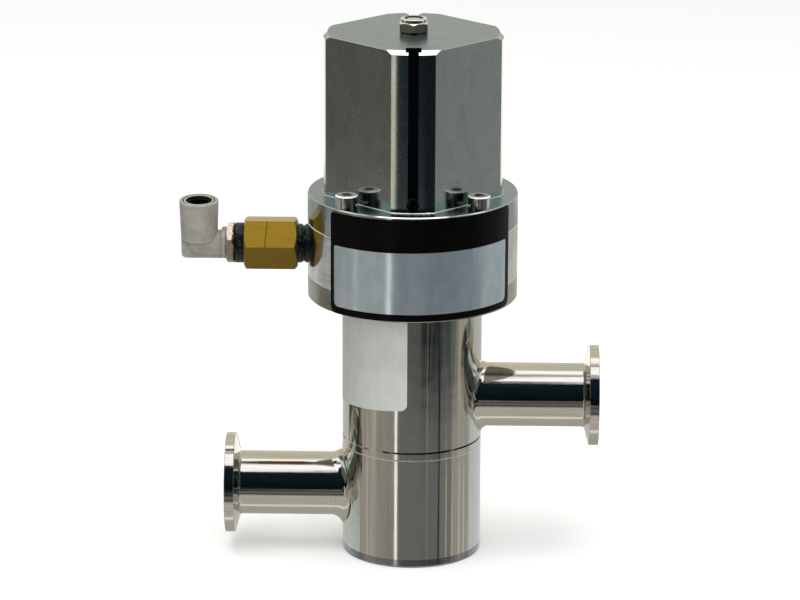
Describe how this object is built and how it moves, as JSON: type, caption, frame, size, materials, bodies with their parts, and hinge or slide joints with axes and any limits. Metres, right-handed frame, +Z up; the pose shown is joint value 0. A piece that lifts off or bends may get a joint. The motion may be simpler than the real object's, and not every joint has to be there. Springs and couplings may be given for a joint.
{
  "type": "pneumatic vacuum valve",
  "caption": "In-line pneumatic vacuum valve: polished steel body with two offset flanged ports, square piston actuator on top and a swivelling push-in air elbow.",
  "frame": {"origin": "centre of the body's flat underside, on the stem's axis", "axes": "+Z up the stem, +X out of the outlet (the higher port), -X out of the inlet and the air fitting, -Y to the front"},
  "size_m": [0.1655, 0.0824, 0.2162],
  "materials": {
    "polished_stainless": "polished tube, faint drawing lines along it",
    "satin_stainless": "turned, satin",
    "turned_aluminium": "bright turned",
    "anodised_aluminium": "grey anodised over a milled surface",
    "piston_aluminium": "turned",
    "screw_steel": "stainless fastener",
    "nut_steel": "stainless lock nut",
    "ground_steel": "ground and polished",
    "bellows_steel": "thin formed stainless sheet",
    "spring_steel": "oiled spring steel",
    "bronze": "sintered bronze",
    "brass": "sawn and drawn brass bar",
    "plated_brass": "nickel plated brass, pinkish where worn",
    "thread_sealant": "dried blue-black thread sealant",
    "elbow_plastic": "moulded light grey plastic",
    "black_plastic": "moulded black plastic",
    "nickel_plating": "nickel plated brass",
    "nylon": "nylon ring",
    "bearing_plastic": "bearing plastic strip",
    "magnet": "bonded magnet",
    "seal_rubber": "black seal rubber"
  },
  "bodies": {
    "valve_body": {"bottom_cap": "polished_stainless", "lower_body_shell": "polished_stainless", "inlet_port": "polished_stainless", "seat_ring": "polished_stainless", "upper_body_shell": "polished_stainless", "outlet_port": "polished_stainless", "body_flange": "satin_stainless", "bonnet_seal": "seal_rubber", "bellows_flange": "satin_stainless", "air_ring": "turned_aluminium", "cylinder_seal": "seal_rubber", "stem_guide": "bronze", "stem_seal": "seal_rubber", "seal_retainer": "spring_steel", "actuator_block": "anodised_aluminium", "roof_bush": "bronze", "vent_screw": "screw_steel", "cap_screws": "screw_steel", "bellows": "bellows_steel", "return_spring": "spring_steel", "brass_adapter": "brass", "ring_sealant": "thread_sealant", "stud_sealant": "thread_sealant", "elbow_stud": "plated_brass", "stud_seal": "seal_rubber"},
    "stem_group": {"valve_stem": "ground_steel", "poppet": "satin_stainless", "poppet_seal": "seal_rubber", "poppet_washer": "screw_steel", "poppet_screw": "screw_steel", "bellows_foot": "satin_stainless", "piston": "piston_aluminium", "piston_seal": "seal_rubber", "piston_magnet": "magnet", "piston_guide_ring": "bearing_plastic", "piston_washer": "screw_steel", "piston_nut": "screw_steel", "stem_nut": "nut_steel", "nut_insert": "nylon"},
    "elbow": {"elbow_body": "elbow_plastic", "tube_seal": "seal_rubber", "grip_ring": "spring_steel", "tube_guide": "nickel_plating"},
    "release_collar": {"release_collar": "black_plastic"}
  },
  "joints": [
    {"name": "valve_lift", "type": "slide", "parent": "valve_body", "child": "stem_group", "axis": [0, 0, 1], "range_m": [0, 0.01], "stiffness_N_per_m": 9000, "springref_m": -0.004, "deforming": ["return_spring", "bellows"]},
    {"name": "elbow_swivel", "type": "hinge", "parent": "valve_body", "child": "elbow", "pos_m": [-0.0838, 0, 0.1254], "axis": [1, 0, 0], "continuous": true},
    {"name": "release_press", "type": "slide", "parent": "elbow", "child": "release_collar", "axis": [0, 0.0785, -0.9969], "range_m": [0, 0.0012], "stiffness_N_per_m": 400, "springref_m": -0.0015}
  ]
}
